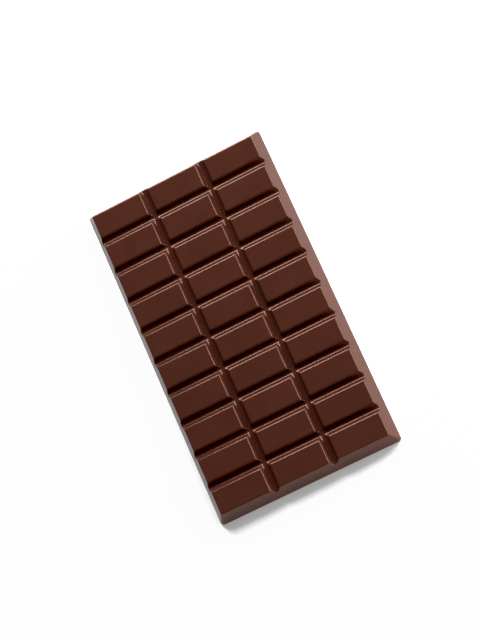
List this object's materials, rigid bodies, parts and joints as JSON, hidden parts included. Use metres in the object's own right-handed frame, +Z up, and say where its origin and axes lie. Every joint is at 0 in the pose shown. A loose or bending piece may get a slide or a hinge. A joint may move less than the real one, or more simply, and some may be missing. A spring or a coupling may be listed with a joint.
{
  "type": "chocolate bar",
  "caption": "Flat rectangular bar of dark chocolate with leaning outer walls and a moulded face of low blocks, parted by grooves to break it along.",
  "frame": {"origin": "centre of the flat back, in the plane the bar rests on", "axes": "+X across the bar's width, +Y along its length, +Z up out of the moulded face"},
  "size_m": [0.078, 0.1376, 0.0077],
  "materials": {
    "dark_chocolate": "tempered dark chocolate, satin gloss from a polished mould"
  },
  "bodies": {
    "root": {"chocolate_bar": "dark_chocolate"}
  },
  "joints": []
}
